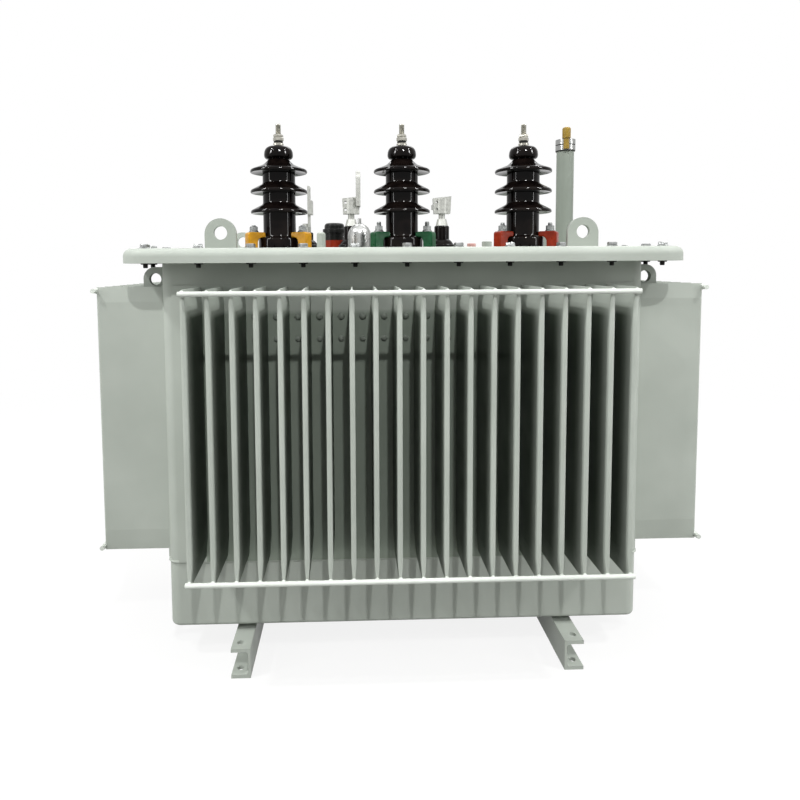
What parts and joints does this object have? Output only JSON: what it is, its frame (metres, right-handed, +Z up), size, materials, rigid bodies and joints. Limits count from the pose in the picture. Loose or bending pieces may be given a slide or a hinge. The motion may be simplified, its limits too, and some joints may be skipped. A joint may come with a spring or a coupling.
{
  "type": "power transformer",
  "caption": "Oil-immersed distribution transformer: a finned corrugated tank on skid channels, with porcelain high- and low-voltage bushings and an oil filler on its bolted cover.",
  "frame": {"origin": "on the floor under the centre of the tank", "axes": "+X along the tank, +Y towards the low-voltage side, +Z up"},
  "size_m": [1.324, 0.872, 1.2295],
  "materials": {
    "paint": "satin",
    "gasket": "matte",
    "porcelain": "gloss",
    "hv_metal": "satin",
    "yellow": "satin",
    "green": "satin",
    "red": "satin",
    "cast_metal": "satin",
    "knob": "gloss",
    "black_plastic": "satin",
    "plug": "matte"
  },
  "bodies": {
    "root": {"left_channel": "paint", "right_channel": "paint", "floor_plate": "paint", "tank_body": "paint", "front_fin_wall": "paint", "rear_fin_wall": "paint", "left_fin_wall": "paint", "right_fin_wall": "paint", "front_rods": "paint", "rear_rods": "paint", "left_rods": "paint", "right_rods": "paint", "tank_rim": "paint", "cover_gasket": "gasket", "cover": "paint", "front_cover_lugs": "paint", "rear_cover_lugs": "paint", "left_tank_lugs": "paint", "right_tank_lugs": "paint", "hv_porcelain_a": "porcelain", "hv_porcelain_b": "porcelain", "hv_porcelain_c": "porcelain", "hv_terminal_a": "hv_metal", "hv_terminal_b": "hv_metal", "hv_terminal_c": "hv_metal", "hv_claws_a": "yellow", "hv_claws_b": "green", "hv_claws_c": "red", "lv_porcelain_n": "porcelain", "lv_porcelain_a": "porcelain", "lv_porcelain_b": "porcelain", "lv_porcelain_c": "porcelain", "lv_connector_n": "cast_metal", "lv_connector_a": "cast_metal", "lv_connector_b": "cast_metal", "lv_connector_c": "cast_metal", "filler_tube": "paint", "filler_collar": "cast_metal", "level_knob": "knob", "relief_valve": "cast_metal", "tap_base": "red", "tap_cap": "black_plastic", "thermometer_pocket": "paint", "vent_cap": "paint", "drain_plug": "plug"}
  },
  "joints": []
}
